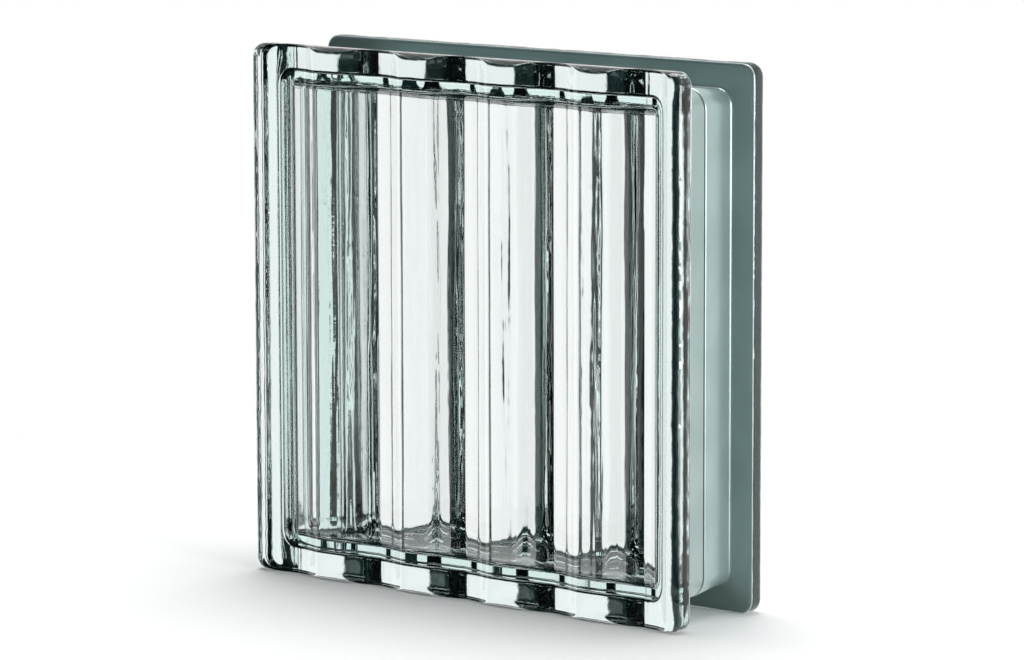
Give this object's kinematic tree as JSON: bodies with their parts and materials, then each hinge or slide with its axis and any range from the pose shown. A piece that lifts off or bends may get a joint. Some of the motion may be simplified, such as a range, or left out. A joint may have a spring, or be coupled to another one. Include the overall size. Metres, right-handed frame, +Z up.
{
  "type": "glass block",
  "caption": "Hollow clear glass block for walls, with upright fluted relief on both faces, overhanging clear rims and an opaque silver coat all round its mortar channel.",
  "frame": {"origin": "middle of the block's footprint, on the level that the two flanges stand on", "axes": "+X along the width, +Y through the block from the front face to the rear face, +Z up along the flutes"},
  "size_m": [0.3, 0.08, 0.3],
  "materials": {
    "clear_glass": "clear pressed glass, fire polished",
    "edge_paint": "opaque light silver-grey edge paint, satin"
  },
  "bodies": {
    "root": {"front_half": "clear_glass", "rear_half": "clear_glass", "edge_coating": "edge_paint"}
  },
  "joints": []
}
